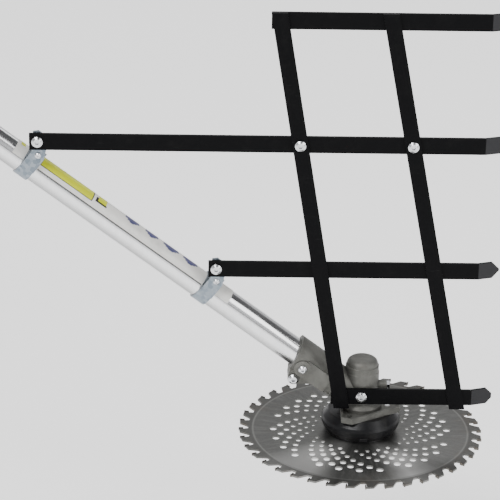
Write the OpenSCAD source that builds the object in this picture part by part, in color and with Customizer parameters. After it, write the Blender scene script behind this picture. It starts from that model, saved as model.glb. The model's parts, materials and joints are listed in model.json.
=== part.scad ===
/* [Shaft] */
// Outer diameter of the shaft tube
tube_d = 28; // [26:0.5:29]
// Wall of the shaft tube
tube_wall = 1.5; // [1.2:0.1:2.5]
// Length of the shaft tube
tube_len = 1120; // [960:10:1400]
// Angle of the shaft above the blade plane, in degrees
shaft_angle = 37; // [36:0.5:38]
// Diameter of the solid drive shaft
drive_d = 7; // [6:0.5:8]
// Number of bush carriers along the drive shaft
bush_count = 4; // [3:1:6]
// Length of one bush carrier
bush_len = 26; // [16:1:40]

/* [Blade] */
// Diameter over the tips of the teeth
blade_d = 255; // [230:1:260]
// Thickness of the blade
blade_t = 2; // [1.6:0.1:2.4]
// Number of teeth
tooth_count = 40; // [36:1:44]
// Depth of the teeth
tooth_depth = 10; // [7:0.5:11]
// Width of the flat on top of a tooth
tooth_land = 7.5; // [5:0.5:8]
// Diameter of the bore on the adapter spigot
blade_bore = 25.4; // [25.4]
// Number of groups of weight-saving holes
hole_groups = 6; // [4:1:6]
// Rows of holes in a group
hole_rows = 4; // [2:1:4]
// Holes in a row
row_holes = 7; // [4:1:7]
// Distance of the outer hole of a row from the centre
hole_r_out = 91; // [86:1:93]
// Diameter of the outer hole of a row
hole_d_out = 7.8; // [6:0.2:8]
// Diameter of the inner hole of a row
hole_d_in = 4.6; // [3.6:0.2:4.8]

/* [Gear head] */
// Height of the shaft axis over the blade's top at the spindle
apex_h = 37; // [36:0.5:40]
// Distance from that crossing to the mouth of the tube socket
mouth_s = 87; // [84:1:96]
// Wall of the casting round the tube
case_wall = 4.2; // [3.5:0.1:5]
// Outer radius of the top dome
dome_r = 17; // [16.6:0.1:19]
// Radius of the guard flange
flange_r = 38; // [36:0.5:40]
// Teeth of the pinion
pinion_teeth = 14; // [14]
// Teeth of the crown gear
crown_teeth = 19; // [19]
// Length of the pitch cones, from the axes' crossing to the outer end of the teeth
cone_len = 24; // [22:0.5:24.5]
// Outer radius of the anti-wrap cup
cup_r = 41; // [38:0.5:43]

/* [Crop frame] */
// Height of a rail, a flat steel bar
rail_h = 17; // [16:0.5:20]
// Thickness of the flat steel bars
bar_t = 3; // [2.5:0.5:3]
// Width of an upright
upright_w = 16; // [14:0.5:20]
// Height of the bottom rail over the blade
rail_z1 = 48.5; // [46:0.5:52]
// Height of the third rail over the blade
rail_z2 = 190.5; // [180:0.5:200]
// Height of the second rail over the blade
rail_z3 = 325; // [310:1:335]
// Height of the top rail over the blade
rail_z4 = 452.5; // [430:0.5:470]
// Reach of the rails' tips beyond the spindle
rail_reach = 134; // [120:1:150]
// Lean of the rear upright, in degrees
rear_lean = 9.7; // [8:0.1:11]
// Lean of the front upright, in degrees
front_lean = 11.2; // [9:0.1:12]
// Distance of the lower clamp along the shaft
clamp_s1 = 205; // [195:1:215]
// Distance of the upper clamp along the shaft
clamp_s2 = 428; // [420:1:440]

/* [Handle and power unit] */
// Distance of the loop handle along the shaft
handle_s = 720; // [600:1:760]
// Width of the loop handle between its sides
handle_w = 150; // [120:1:180]
// Diameter of the handle's tube
handle_d = 22; // [19:0.5:24]
// Distance of the harness eye along the shaft
eye_s = 860; // [820:1:900]
// Radius of the motor housing
motor_r = 46; // [44:0.5:50]
// Wall of the motor housing
shell_t = 3; // [2.5:0.1:3.5]
// Width of the battery pack
pack_w = 78; // [76:1:90]

/* [Hidden] */
$fn = 64;
round_fn = 48;
hex_fn = 6;
fit = 0.05;
seat = 0.02;

// heights, with the free end of the spindle at zero
blade_z = 24;
apex_z = blade_z + apex_h;

// spindle and its bearings
spindle_r = 6;
thread_r = 5;
top_journal_r = 5;
// plain free end of the spindle, below its thread
pilot_r = 4.3;
pilot_h = 6;
low_race_r = 16;
low_race_h = 10;
low_race_z = blade_z + 14;
top_race_r = 13;
top_race_h = 8;
top_race_z = apex_z + 27;
hub_r = low_race_r + 4;
hub_z = low_race_z - 4;
cup_gap = 4.5;
cup_top_z = blade_z + 25;
cup_wall = 2.5;
flange_z = cup_top_z;
flange_t = 2.5;
rim_h = 6.5;
rim_w = 2.5;
flange_cut = 22;
// the flange's front edge: distance from the spindle and direction of its normal
flange_front = 28.2;
flange_front_angle = -59;
dome_top = apex_z + 46;
dome_band_z = apex_z + 38.5;
dome_shoulder = 6;
cup_screw_at = 28;
cup_screw_r = 2.5;
cup_screw_angles = [-92, 5, 75];
guard_angles = [-118, 118];
guard_hole_r = 3;
adapter_h = 9;
// half the distance between the spindle's two drive flats
flat_half = 5;

// blade: the teeth cut their way clockwise, seen from the gear head
tip_r = blade_d / 2;
root_r = tip_r - tooth_depth;
tooth_step = 360 / tooth_count;
land_angle = tooth_land / tip_r * 180 / PI;
tip_t = 0.4;
pattern_angle = 60;
row_step = 13.3;
hole_pitch_r = 6.9;
hole_pitch_a = 6.2;

// bevel gears: the crown gear is above the crossing of the axes
axes_angle = 90 - shaft_angle;
crown_cone = atan(sin(axes_angle) / (pinion_teeth / crown_teeth + cos(axes_angle)));
pinion_cone = axes_angle - crown_cone;
gear_module = 2 * cone_len * sin(crown_cone) / crown_teeth;
tooth_face = 7;
tooth_up = 0.75 * gear_module;
tooth_down = 1.05 * gear_module;
gear_play = 0.09;
pinion_race_r = 13;
pinion_race_h = 8;
pinion_race_s = [28, 37];
pinion_journal_r = 5;
socket_s = 50;
gear_room_r = cone_len * sin(crown_cone + tooth_up / cone_len * 180 / PI) + 0.9;
pinion_room_s = 13;

// shaft tube, and the width of the straps on it
clamp_w = 15;
tube_r = tube_d / 2;
tube_in_r = tube_r - tube_wall;
neck_r = tube_r + case_wall;
tube_end_s = socket_s + tube_len;
drive_r = drive_d / 2;
square_w = 5;
square_s = 46;
drive_square = square_w / 2 - fit;
bush_first = 110;
bush_last = tube_end_s - 90;
// thin bands of adhesive label on the tube's upper side: a start and an end along the shaft each
label_t = 0.12;
label_spans = [[clamp_s1 - 25, clamp_s1 - clamp_w / 2 - 0.5],
  [clamp_s1 + clamp_w / 2 + 0.5, clamp_s2 - clamp_w / 2 - 0.5],
  [clamp_s2 + clamp_w / 2 + 1, clamp_s2 + clamp_w / 2 + 14]];

// the neck's clamp ears, its locating screw, the frame's boss and the grease plug
ear_screw_s = mouth_s - 14;
ear_drop = neck_r + 4;
locate_s = mouth_s - 12;
locate_x = 4.7;
locate_y = neck_r + 1.5;
pad_start_s = 43;
boss_z = rail_z1 + blade_z;
// the neck's mouth is cut at a slant, furthest out on the upper side
mouth_tilt = 12;
mouth_skew = neck_r * tan(mouth_tilt) + 2;
grease_x = dome_r + 9;
grease_z = apex_z + 15;
grease_r = 3;

// crop frame: ears, then rails, then uprights, counted away from the shaft
ear_t = 3;
ear_y = -(tube_r + 4.5);
rail_y = ear_y - bar_t;
upright_y = rail_y - bar_t;
bolt_r = 3;
bolt_head_r = 5.5;
bolt_head_h = 3.2;
strap_t = 1.8;
tip_len = 22;
tip_bend = 18;
tip_cut = 6;
rear_foot_x = -15.5;
front_foot_x = 105;
foot_drop = 12;
case_bolt_x = -1.5;
lift_slope = 0.36;
upper_bolt = along(clamp_s2, rail_z3);
lower_bolt = along(clamp_s1, rail_z2);
ear_gap = 3;
back_ear_y = ear_y + ear_t + ear_gap;
screw_up = tube_r + 4.6;

// handle
handle_r = handle_d / 2;
block_w = 46;
block_l = 44;
bend_r = 32;
handle_rise = 150;
handle_base = tube_r + 5 + handle_r;
block_split = handle_base;
block_gap = 0.6;
screw_gap = 17;
sleeve_t = 3;
eye_up = tube_r + 16;
eye_hole_r = 6;

// power unit
nose_s = tube_end_s - 62;
motor_s = nose_s + 52;
motor_end_s = motor_s + 96;
grip_end_s = motor_end_s + 128;
bay_end_s = grip_end_s + 58;
grip_w = 36;
grip_h = 42;
grip_drop = -4;
bay_w = pack_w;
bay_h = 92;
bay_drop = -14;
inside_w = bay_w / 2 - shell_t - 0.2;
plate_t = 6;
plate_s = [motor_s + 12, motor_s + 74];
rotor_r = 25;
air_gap = 0.6;
stator_r = motor_r - shell_t - 0.1;
stator_s = [motor_s + 26, motor_s + 66];
motor_journal_r = 4;
motor_race_r = 11;
coupler_r = 9;
rotor_end_s = motor_s + 84;
rotor_start_s = motor_s + 2;
trigger_pin_s = motor_end_s + 22;
trigger_pin_x = grip_drop - grip_h / 2 + 7;
trigger_slot_w = 11;
button_s = motor_end_s + 34;
button_x = grip_drop + grip_h / 2;
power_s = grip_end_s + 30;
power_x = bay_drop + bay_h / 2;
pack_l = 62;
tongue_w = 46;
tongue_h = 26;
tongue_l = 34;
tongue_gap = 0.5;
trigger_reach = 40;
trigger_open = 9;
button_w = 12;
button_gap = 0.4;
button_l = 22;
power_r = 6;
pin_r = 2;
half_gap = 0.05;
slot_count = 12;
// the housing's screws: place across, place along the shaft and half length each
shell_screws = [[26, nose_s + 32, 24], [-26, nose_s + 32, 24], [grip_drop, grip_end_s - 14, grip_w / 2],
  [bay_drop + bay_h / 2 - 9, bay_end_s - 12, bay_w / 2],
  [bay_drop - bay_h / 2 + 9, bay_end_s - 12, bay_w / 2]];

// ---- shared placing and shapes ----
module on_shaft(s) {
  translate([0, 0, apex_z]) rotate([0, -axes_angle, 0]) translate([0, 0, s]) children();
}

module ring(outer, inner, h) {
  difference() {
    cylinder(r = outer, h = h);
    translate([0, 0, -1]) cylinder(r = inner, h = h + 2);
  }
}

module box(x, y, z) {
  translate([x[0], y[0], z[0]]) cube([x[1] - x[0], y[1] - y[0], z[1] - z[0]]);
}

// a ball race: two rings, with the balls in the groove between them
module race(outer, inner, h) {
  mid = (outer + inner) / 2;
  ball = (outer - inner) * 0.27;
  wall = (outer - inner) * 0.3;
  difference() {
    union() {
      ring(outer, outer - wall, h);
      ring(inner + wall, inner, h);
    }
    translate([0, 0, h / 2]) rotate_extrude() translate([mid, 0]) circle(r = ball + 0.1, $fn = 24);
  }
  for (k = [0 : 8]) rotate([0, 0, k * 40]) translate([mid, 0, h / 2]) sphere(r = ball, $fn = 24);
}

// a socket screw along +Z with its head's underside at zero and its shank below
module socket_screw(shank, long, head, high) {
  difference() {
    union() {
      translate([0, 0, -long]) cylinder(r = shank, h = long + 0.5, $fn = round_fn);
      cylinder(r = head, h = high * 0.55, $fn = round_fn);
      translate([0, 0, high * 0.55])
        cylinder(r1 = head, r2 = head * 0.62, h = high * 0.45, $fn = round_fn);
    }
    translate([0, 0, high * 0.4]) cylinder(r = head * 0.45, h = high, $fn = hex_fn);
  }
}

// a point on a straight bevel tooth: distance from the apex, cone angle, sideways offset
function cone_point(dist, angle, side) = [dist * sin(angle), side * dist, dist * cos(angle)];

// one tooth, tapering to the apex at the origin
module bevel_tooth(cone, dist) {
  pitch_half = 180 * gear_module / cone_len / 4 * (PI / 180) * (1 - 4 * gear_play);
  tip_half = pitch_half - tooth_up / cone_len * tan(20);
  root_half = pitch_half + tooth_down / cone_len * tan(20);
  tip_angle = cone + tooth_up / cone_len * 180 / PI;
  root_angle = cone - (tooth_down + 0.25) / cone_len * 180 / PI;
  near = dist - tooth_face;
  polyhedron(points = [
      cone_point(near, root_angle, -root_half), cone_point(near, root_angle, root_half),
      cone_point(near, tip_angle, tip_half), cone_point(near, tip_angle, -tip_half),
      cone_point(dist, root_angle, -root_half), cone_point(dist, root_angle, root_half),
      cone_point(dist, tip_angle, tip_half), cone_point(dist, tip_angle, -tip_half)],
    faces = [[3, 2, 1, 0], [4, 5, 6, 7], [0, 1, 5, 4], [1, 2, 6, 5], [2, 3, 7, 6], [3, 0, 4, 7]]);
}

// a bevel gear whose apex is the origin and whose axis is +Z, with a hub behind the teeth
module bevel_gear(teeth, cone, hub_end) {
  root_angle = cone - tooth_down / cone_len * 180 / PI;
  near = cone_len - tooth_face;
  for (k = [0 : teeth - 1]) rotate([0, 0, k * 360 / teeth]) bevel_tooth(cone, cone_len);
  translate([0, 0, near * cos(root_angle)])
    cylinder(r1 = near * sin(root_angle), r2 = cone_len * sin(root_angle), h = tooth_face * cos(root_angle));
  translate([0, 0, cone_len * cos(root_angle) - 0.3])
    cylinder(r = cone_len * sin(root_angle) - 0.2, h = hub_end - cone_len * cos(root_angle) + 0.3);
}

// ---- gear head ----
// the flange's outline, drawn in by an inset and raised from z
module flange_plate(inset, z, high) {
  intersection() {
    translate([0, 0, z]) cylinder(r = flange_r + 3 - inset, h = high);
    box([-flange_cut + inset, flange_r + 3], [-flange_r - 3, flange_r + 3], [z, z + high]);
    rotate([0, 0, flange_front_angle])
      box([-2 * flange_r, flange_front - inset], [-2 * flange_r, 2 * flange_r], [z, z + high]);
  }
}

module guard_flange() {
  difference() {
    flange_plate(0, flange_z, rim_h);
    flange_plate(rim_w, flange_z + flange_t, rim_h);
    for (a = cup_screw_angles) rotate([0, 0, a]) translate([cup_screw_at, 0, flange_z - 1])
      cylinder(r = cup_screw_r + fit, h = flange_t + 2, $fn = round_fn);
    for (a = guard_angles) rotate([0, 0, a]) translate([cup_screw_at, 0, flange_z - 1])
      cylinder(r = guard_hole_r, h = flange_t + 2, $fn = round_fn);
  }
}

// the round top of the casting, turned about the spindle
module dome() {
  rotate_extrude() {
    polygon([[0, flange_z], [hub_r + 1.5, flange_z], [hub_r + 1.5, flange_z + rim_h], [dome_r + 0.8, apex_z],
      [dome_r + 0.8, dome_band_z - 7], [dome_r + 0.3, dome_band_z - 6], [dome_r + 0.3, dome_band_z],
      [dome_r - 0.7, dome_band_z + 0.8], [dome_r - 0.7, dome_top - dome_shoulder],
      [dome_r - 0.7 - dome_shoulder, dome_top], [0, dome_top]]);
    translate([dome_r - 0.7 - dome_shoulder, dome_top - dome_shoulder]) circle(r = dome_shoulder);
  }
}

// the neck's ears, under the tube on both sides of the slit
module clamp_ears() {
  on_shaft(0) {
    hull() {
      translate([-ear_drop, 10, ear_screw_s]) rotate([90, 0, 0]) cylinder(r = 6, h = 20, $fn = 32);
      translate([-8, 10, ear_screw_s + 4]) rotate([90, 0, 0]) cylinder(r = 8, h = 20, $fn = 32);
      translate([-8, 10, ear_screw_s - 16]) rotate([90, 0, 0]) cylinder(r = 8, h = 20, $fn = 32);
    }
    translate([-locate_x, 0, locate_s]) rotate([90, 0, 0]) cylinder(r = 9, h = locate_y);
    box([-13, 6], [-locate_y + 0.8, -8], [pad_start_s, locate_s]);
  }
}

module gear_case() {
  color([0.47, 0.46, 0.42]) difference() {
    union() {
      guard_flange();
      dome();
      translate([0, 0, hub_z]) cylinder(r = hub_r, h = flange_z - hub_z + 1);
      on_shaft(2) cylinder(r = neck_r - 0.6, h = mouth_s - 8);
      on_shaft(mouth_s - 32) cylinder(r = neck_r, h = 32 + mouth_skew);
      clamp_ears();
      translate([case_bolt_x, 0, boss_z]) rotate([90, 0, 0]) cylinder(r = 8, h = -ear_y);
      translate([0, 0, grease_z]) rotate([0, 90, 0]) cylinder(r = 5.5, h = grease_x);
    }
    translate([0, 0, hub_z - 1]) cylinder(r = low_race_r + seat, h = low_race_z + low_race_h - hub_z + 1);
    translate([0, 0, low_race_z]) cylinder(r = gear_room_r, h = top_race_z - low_race_z);
    translate([0, 0, top_race_z - 1]) cylinder(r = top_race_r + seat, h = top_race_h + 1);
    translate([0, 0, top_race_z]) cylinder(r = top_race_r - 3, h = top_race_h + 2);
    on_shaft(pinion_room_s) cylinder(r = pinion_race_r + seat, h = socket_s - pinion_room_s + 1);
    on_shaft(socket_s - 4) cylinder(r = pinion_race_r + 0.8, h = 1.4);
    on_shaft(socket_s) cylinder(r = tube_r + seat, h = mouth_s);
    on_shaft(mouth_s) rotate([0, -mouth_tilt, 0]) box([-60, 60], [-40, 40], [0, 40]);
    on_shaft(socket_s + 4) box([-ear_drop - 8, 0], [-1, 1], [0, mouth_s]);
    on_shaft(ear_screw_s) translate([-ear_drop, 20, 0]) rotate([90, 0, 0])
      cylinder(r = bolt_r + fit, h = 40);
    on_shaft(locate_s) translate([-locate_x, 0, 0]) rotate([90, 0, 0])
      cylinder(r = 2.5 + fit, h = locate_y + 1, $fn = round_fn);
    translate([case_bolt_x, -gear_room_r - 1, boss_z]) rotate([90, 0, 0])
      cylinder(r = bolt_r + fit, h = neck_r + 10);
    translate([dome_r - 2, 0, grease_z]) rotate([0, 90, 0]) cylinder(r = grease_r + fit, h = 20);
  }
}

module grease_plug() {
  color("darkgoldenrod") translate([grease_x, 0, grease_z]) rotate([0, 90, 0]) {
    cylinder(r = 5, h = 3, $fn = hex_fn);
    translate([0, 0, -7]) cylinder(r = grease_r, h = 7.5, $fn = round_fn);
  }
}

module case_clamp_screws() {
  color("silver") {
    on_shaft(ear_screw_s) translate([-ear_drop, -10, 0]) rotate([90, 0, 0])
      socket_screw(bolt_r, 26, bolt_head_r, 4.5);
    on_shaft(ear_screw_s) translate([-ear_drop, 10, 0]) rotate([-90, 0, 0])
      ring(5.7, bolt_r + fit, 5);
    on_shaft(locate_s) translate([-locate_x, -locate_y, 0]) rotate([90, 0, 0])
      socket_screw(2.5, locate_y - tube_r + 1.4, 4.2, 3.5);
  }
}

module pinion_gear() {
  hub_end = pinion_race_s[0];
  color("dimgray") on_shaft(0) {
    bevel_gear(pinion_teeth, pinion_cone, hub_end);
    difference() {
      translate([0, 0, hub_end - 1]) cylinder(r = pinion_journal_r, h = square_s + 9 - hub_end);
      translate([0, 0, square_s])
        box([-square_w / 2, square_w / 2], [-square_w / 2, square_w / 2], [0, 13]);
    }
  }
}

module pinion_bearings() {
  color("lightsteelblue") for (s = pinion_race_s)
    on_shaft(s) race(pinion_race_r, pinion_journal_r + seat, pinion_race_h);
}

module pinion_circlip() {
  color("darkslategray") on_shaft(socket_s - 3.9) difference() {
    ring(pinion_race_r + 0.6, pinion_race_r - 2.2, 1.2);
    box([-3, 3], [0, 20], [-1, 3]);
  }
}

module crown_gear() {
  color("dimgray") difference() {
    translate([0, 0, apex_z])
      bevel_gear(crown_teeth, crown_cone, top_race_z - apex_z - 0.5);
    translate([0, 0, apex_z]) cylinder(r = spindle_r + seat, h = 60);
  }
}

module output_spindle() {
  color("gainsboro") {
    cylinder(r = pilot_r, h = pilot_h + 1);
    translate([0, 0, pilot_h]) cylinder(r = thread_r, h = blade_z - pilot_h);
    intersection() {
      translate([0, 0, blade_z - blade_t]) cylinder(r = spindle_r, h = adapter_h + 2);
      box([-spindle_r, spindle_r], [-flat_half, flat_half], [0, blade_z + 20]);
    }
    translate([0, 0, blade_z + adapter_h])
      cylinder(r = spindle_r, h = top_race_z - blade_z - adapter_h);
    translate([0, 0, blade_z + adapter_h])
      cylinder(r = spindle_r + 1.5, h = low_race_z - blade_z - adapter_h);
    translate([0, 0, top_race_z - 1]) cylinder(r = top_journal_r, h = top_race_h + 2);
  }
}

module spindle_bearings() {
  color("lightsteelblue") {
    translate([0, 0, low_race_z]) race(low_race_r, spindle_r + seat, low_race_h);
    translate([0, 0, top_race_z]) race(top_race_r, top_journal_r + seat, top_race_h);
  }
}

module oil_seal() {
  color("saddlebrown") translate([0, 0, hub_z]) ring(low_race_r, spindle_r + 1.5 + 0.1, low_race_z - hub_z);
}

// the fixed cup that keeps cut grass off the spindle, with its side notches
module anti_wrap_cup() {
  notch_w = 8;
  notch_top = blade_z + cup_gap + 5;
  low_r = cup_r - 3.5;
  color("black") difference() {
    rotate_extrude() polygon([
      [low_r - cup_wall, blade_z + cup_gap], [low_r, blade_z + cup_gap], [cup_r - 1.2, blade_z + 9],
      [cup_r - 1, blade_z + 12], [cup_r, blade_z + 12.5], [cup_r, blade_z + 15.5],
      [cup_r - 1.5, blade_z + 18.5],
      [cup_r - 7, cup_top_z], [hub_r + fit, cup_top_z], [hub_r + fit, cup_top_z - cup_wall],
      [cup_r - 8, cup_top_z - cup_wall], [cup_r - 1.5 - cup_wall, blade_z + 17],
      [cup_r - 1.2 - cup_wall, blade_z + 9]]);
    for (a = [-88, 32, 152]) rotate([0, 0, a])
      box([cup_r - 9, cup_r + 5], [-notch_w / 2, notch_w / 2], [blade_z, notch_top]);
    for (a = cup_screw_angles) rotate([0, 0, a]) translate([cup_screw_at, 0, flange_z - 10])
      cylinder(r = cup_screw_r + 0.3, h = 20, $fn = round_fn);
    for (a = guard_angles) rotate([0, 0, a]) translate([cup_screw_at, 0, flange_z - 10])
      cylinder(r = guard_hole_r + 0.3, h = 20, $fn = round_fn);
  }
}

module cup_screws() {
  color("silver") for (a = cup_screw_angles) rotate([0, 0, a])
    translate([cup_screw_at, 0, cup_top_z - cup_wall]) rotate([180, 0, 0])
      socket_screw(cup_screw_r, cup_wall + flange_t, 4.2, 2.4);
}

// the upper blade flange with its centring spigot
module blade_adapter() {
  color("slategray") difference() {
    union() {
      translate([0, 0, blade_z]) cylinder(r = 29, h = 3.5);
      translate([0, 0, blade_z]) cylinder(r = 14, h = adapter_h);
      translate([0, 0, blade_z - blade_t + 0.3]) cylinder(r = blade_bore / 2 - fit, h = blade_t);
    }
    intersection() {
      translate([0, 0, blade_z - 5]) cylinder(r = spindle_r + seat, h = 20);
      box([-10, 10], [-flat_half - seat, flat_half + seat], [0, 60]);
    }
    translate([21, 0, blade_z - 1]) cylinder(r = 3, h = 8);
  }
}

// ---- blade ----
function polar(r, a) = [r * cos(a), r * sin(a)];

// the disc with its teeth
module tooth_outline() {
  polygon([for (k = [0 : tooth_count - 1]) let (a = k * tooth_step) each [
    polar(root_r, a - 0.1), polar(root_r + 4, a + 0.35),
    polar(tip_r - 0.4, a), polar(tip_r - 1, a + land_angle),
    polar(root_r + 2.5, a + land_angle + 2), polar(root_r, a + land_angle + 3)]]);
}

module hole_pattern() {
  for (g = [0 : hole_groups - 1], row = [0 : hole_rows - 1], k = [0 : row_holes - 1])
    rotate([0, 0, g * 360 / hole_groups + row * row_step - k * hole_pitch_a])
      translate([hole_r_out - k * hole_pitch_r, 0])
        circle(d = hole_d_out - k * (hole_d_out - hole_d_in) / (row_holes - 1), $fn = 16);
}

module blade_disc() {
  color([0.43, 0.42, 0.4]) translate([0, 0, blade_z - blade_t]) linear_extrude(blade_t) difference() {
    tooth_outline();
    circle(d = blade_bore);
    translate([21, 0]) circle(r = 3);
    rotate([0, 0, pattern_angle]) hole_pattern();
  }
}

module carbide_tips() {
  color("dimgray") for (k = [0 : tooth_count - 1]) rotate([0, 0, k * tooth_step - 0.02])
    translate([tip_r - 5, -1.4, blade_z - blade_t - tip_t]) cube([5, 1.4, blade_t + 2 * tip_t]);
}

module outer_flange() {
  color("slategray") translate([0, 0, blade_z - blade_t - 5]) difference() {
    union() {
      translate([0, 0, 2]) cylinder(r = 27, h = 3);
      cylinder(r1 = 12, r2 = 20, h = 2.2);
    }
    translate([0, 0, -1]) cylinder(r = thread_r + 0.15, h = 8);
    translate([0, 0, 4.5]) cylinder(r = blade_bore / 2 + 0.5, h = 1);
  }
}

module blade_nut() {
  top = blade_z - blade_t - 5;
  color("silver") translate([0, 0, top - 10]) difference() {
    union() {
      cylinder(r = 17 / sqrt(3), h = 8.5, $fn = hex_fn);
      translate([0, 0, 8]) cylinder(r = 11, h = 2);
    }
    translate([0, 0, -1]) cylinder(r = thread_r + seat, h = 12);
  }
}

// ---- shaft ----
module shaft_tube() {
  color([0.75, 0.76, 0.77]) difference() {
    on_shaft(socket_s) ring(tube_r, tube_in_r, tube_len);
    on_shaft(locate_s) translate([-locate_x, 0, 0]) rotate([90, 0, 0])
      cylinder(r = 2.5 + 0.3, h = 40, $fn = round_fn);
  }
}

module drive_shaft() {
  color("gray") {
    on_shaft(square_s + 10) cylinder(r = drive_r, h = rotor_start_s - 14 - square_s);
    on_shaft(square_s + 0.3) box([-drive_square, drive_square], [-drive_square, drive_square], [0, 12]);
  }
}

module shaft_bushes() {
  color("ivory") for (k = [0 : bush_count - 1])
    on_shaft(bush_first + k * (bush_last - bush_first) / (bush_count - 1)) difference() {
      cylinder(r = tube_in_r - seat, h = bush_len);
      translate([0, 0, -1]) cylinder(r = drive_r + fit, h = bush_len + 2);
      for (a = [0, 90, 180, 270]) rotate([0, 0, a]) translate([tube_in_r, 0, -1])
        cylinder(r = 3.2, h = bush_len + 2);
    }
}

module shaft_labels() {
  color("whitesmoke") for (span = label_spans) on_shaft(span[0]) rotate([0, 0, -72])
    rotate_extrude(angle = 144) translate([tube_r + seat, 0]) square([label_t, span[1] - span[0]]);
}

// ---- crop frame ----
// a flat bar along +X standing on edge, its front face at y = 0 and its back at +bar_t
module flat_bar(from, to, high) {
  translate([0, bar_t, 0]) rotate([90, 0, 0]) linear_extrude(bar_t)
    polygon([[from, -high / 2], [to, -high / 2], [to, high / 2], [from, high / 2]]);
}

// the last stretch of a rail, bent back and with its corners cut off
module bent_tip(long, high, cut) {
  translate([0, bar_t, 0]) {
    rotate([0, 0, tip_bend]) rotate([90, 0, 0]) linear_extrude(bar_t)
      polygon([[0, -high / 2], [long - cut, -high / 2], [long, -high / 2 + cut],
        [long, high / 2 - cut], [long - cut, high / 2], [0, high / 2]]);
    translate([0, 0, -high / 2]) rotate([0, 0, -90]) rotate_extrude(angle = tip_bend) square([bar_t, high]);
  }
}

module rail(from, z, cut, bolts) {
  bend_x = rail_reach - tip_len;
  translate([0, rail_y, z + blade_z]) difference() {
    union() {
      flat_bar(from, bend_x, rail_h);
      translate([bend_x, 0, 0]) bent_tip(tip_len, rail_h, cut);
    }
    for (x = bolts) translate([x, 10, 0]) rotate([90, 0, 0])
      cylinder(r = bolt_r + 0.1, h = 20, $fn = round_fn);
  }
}

// where an upright's middle line is at a height over the blade
function rear_x(z) = rear_foot_x - z * tan(rear_lean);
function front_x(z) = front_foot_x - z * tan(front_lean);

// where a clamp's frame bolt is: on its rail, square above the shaft
function along(s, z) = [-s * cos(shaft_angle) + (z - apex_h - s * sin(shaft_angle)) * lift_slope, z];

module top_rail() {
  color("black") rail(rear_x(rail_z4) - upright_w / 2 - 1, rail_z4, tip_cut, []);
}
module second_rail() {
  color("black") rail(upper_bolt[0] - 8, rail_z3, tip_cut,
    [upper_bolt[0], rear_x(rail_z3), front_x(rail_z3)]);
}
module third_rail() {
  color("black") rail(lower_bolt[0] - 8, rail_z2, rail_h / 2 - 1, [lower_bolt[0]]);
}
module bottom_rail() {
  color("black") rail(rear_x(rail_z1) - upright_w / 2 - 1, rail_z1, tip_cut, [case_bolt_x]);
}

module upright(foot_x, lean, bolt_x) {
  low = rail_z1 - foot_drop;
  high = rail_z4 + rail_h / 2;
  difference() {
    translate([0, upright_y + bar_t, blade_z]) rotate([90, 0, 0]) linear_extrude(bar_t) polygon([
      [foot_x - low * tan(lean) - upright_w / 2, low], [foot_x - low * tan(lean) + upright_w / 2, low],
      [foot_x - high * tan(lean) + upright_w / 2, high], [foot_x - high * tan(lean) - upright_w / 2, high]]);
    translate([bolt_x, upright_y - 5, blade_z + rail_z3]) rotate([-90, 0, 0])
      cylinder(r = bolt_r + 0.1, h = 20, $fn = round_fn);
  }
}
module rear_upright() {
  color("black") upright(rear_foot_x, rear_lean, rear_x(rail_z3));
}
module front_upright() {
  color("black") upright(front_foot_x, front_lean, front_x(rail_z3));
}

// a strap round the tube whose ends rise as two ears; the front ear carries the rail
module strap_clamp(s, bolt) {
  bolt_up = (bolt[0] + s * cos(shaft_angle)) * sin(shaft_angle)
    + (bolt[1] - apex_h - s * sin(shaft_angle)) * cos(shaft_angle);
  bolt_along = -(bolt[0] + s * cos(shaft_angle)) * cos(shaft_angle)
    + (bolt[1] - apex_h - s * sin(shaft_angle)) * sin(shaft_angle);
  difference() {
    union() {
      on_shaft(s - clamp_w / 2) difference() {
        ring(tube_r + strap_t, tube_r + seat, clamp_w);
        rotate([0, 0, -62]) translate([tube_r - 2, -ear_gap / 2, -1]) cube([10, ear_gap, clamp_w + 2]);
      }
      on_shaft(s) rotate([90, 0, 0]) translate([0, 0, -ear_y - ear_t]) linear_extrude(ear_t) {
        polygon([[0, -clamp_w / 2], [screw_up, -clamp_w / 2], [bolt_up + 5, bolt_along - 9],
          [bolt_up + 9, bolt_along - 5], [bolt_up + 9, bolt_along + 5], [bolt_up + 5, bolt_along + 9],
          [screw_up, clamp_w / 2], [0, clamp_w / 2]]);
      }
      on_shaft(s - clamp_w / 2) box([0, 6], [-tube_r - 2 * strap_t, -tube_r - fit], [0, clamp_w]);
      on_shaft(s - clamp_w / 2)
        box([tube_r - 7, screw_up + 3.8], [back_ear_y, back_ear_y + strap_t], [0, clamp_w]);
    }
    on_shaft(s - clamp_w / 2 - 1) cylinder(r = tube_r + seat, h = clamp_w + 2);
    on_shaft(s) translate([screw_up, 0, 0]) rotate([90, 0, 0])
      cylinder(r = 2 + 0.1, h = 60, center = true, $fn = 32);
    translate([bolt[0], 0, bolt[1] + blade_z]) rotate([90, 0, 0])
      cylinder(r = bolt_r + 0.1, h = 60, center = true, $fn = round_fn);
  }
}

module lower_clamp() {
  color("silver") strap_clamp(clamp_s1, lower_bolt);
}
module upper_clamp() {
  color("silver") strap_clamp(clamp_s2, upper_bolt);
}

module clamp_screws() {
  color("silver") for (s = [clamp_s1, clamp_s2]) on_shaft(s) {
    translate([screw_up, ear_y, 0]) rotate([90, 0, 0])
      socket_screw(2, ear_t + ear_gap + strap_t + 5, 3, 2.2);
    translate([screw_up, back_ear_y + strap_t, 0]) rotate([-90, 0, 0]) difference() {
      cylinder(r = 4, h = 3, $fn = hex_fn);
      translate([0, 0, -1]) cylinder(r = 2 + seat, h = 6, $fn = 32);
    }
  }
}

module bolt_at(x, z, head_y, long) {
  translate([x, head_y, z + blade_z]) rotate([90, 0, 0])
    socket_screw(bolt_r, long, bolt_head_r, bolt_head_h);
}

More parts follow.
